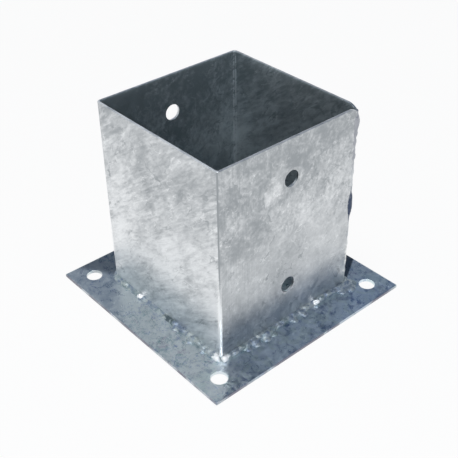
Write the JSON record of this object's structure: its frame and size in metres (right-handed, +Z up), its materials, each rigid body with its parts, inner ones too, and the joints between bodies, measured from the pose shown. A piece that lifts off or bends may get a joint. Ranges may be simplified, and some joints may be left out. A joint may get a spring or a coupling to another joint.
{
  "type": "timber post base",
  "caption": "Galvanised bolt-down base for a square timber post: a folded sheet sleeve, open at the top, welded upright on a flat square plate with anchor holes.",
  "frame": {"origin": "middle of the plate's underside, where it stands on the ground", "axes": "+Z up along the post; +X towards the wall with the two bolt holes that the picture shows; -Y towards the plain wall beside it"},
  "size_m": [0.18, 0.18, 0.1525],
  "materials": {
    "galvanised_sheet": "hot-dip galvanised after welding: matt grey zinc with soft mottling and short streaks",
    "galvanised_weld": "lumpy weld metal under the same zinc coat, a little brighter on its crests"
  },
  "bodies": {
    "root": {"base_plate": "galvanised_sheet", "post_sleeve": "galvanised_sheet", "seam_weld": "galvanised_weld", "foot_weld_front": "galvanised_weld", "foot_weld_right": "galvanised_weld", "foot_weld_back": "galvanised_weld", "foot_weld_left": "galvanised_weld"}
  },
  "joints": []
}
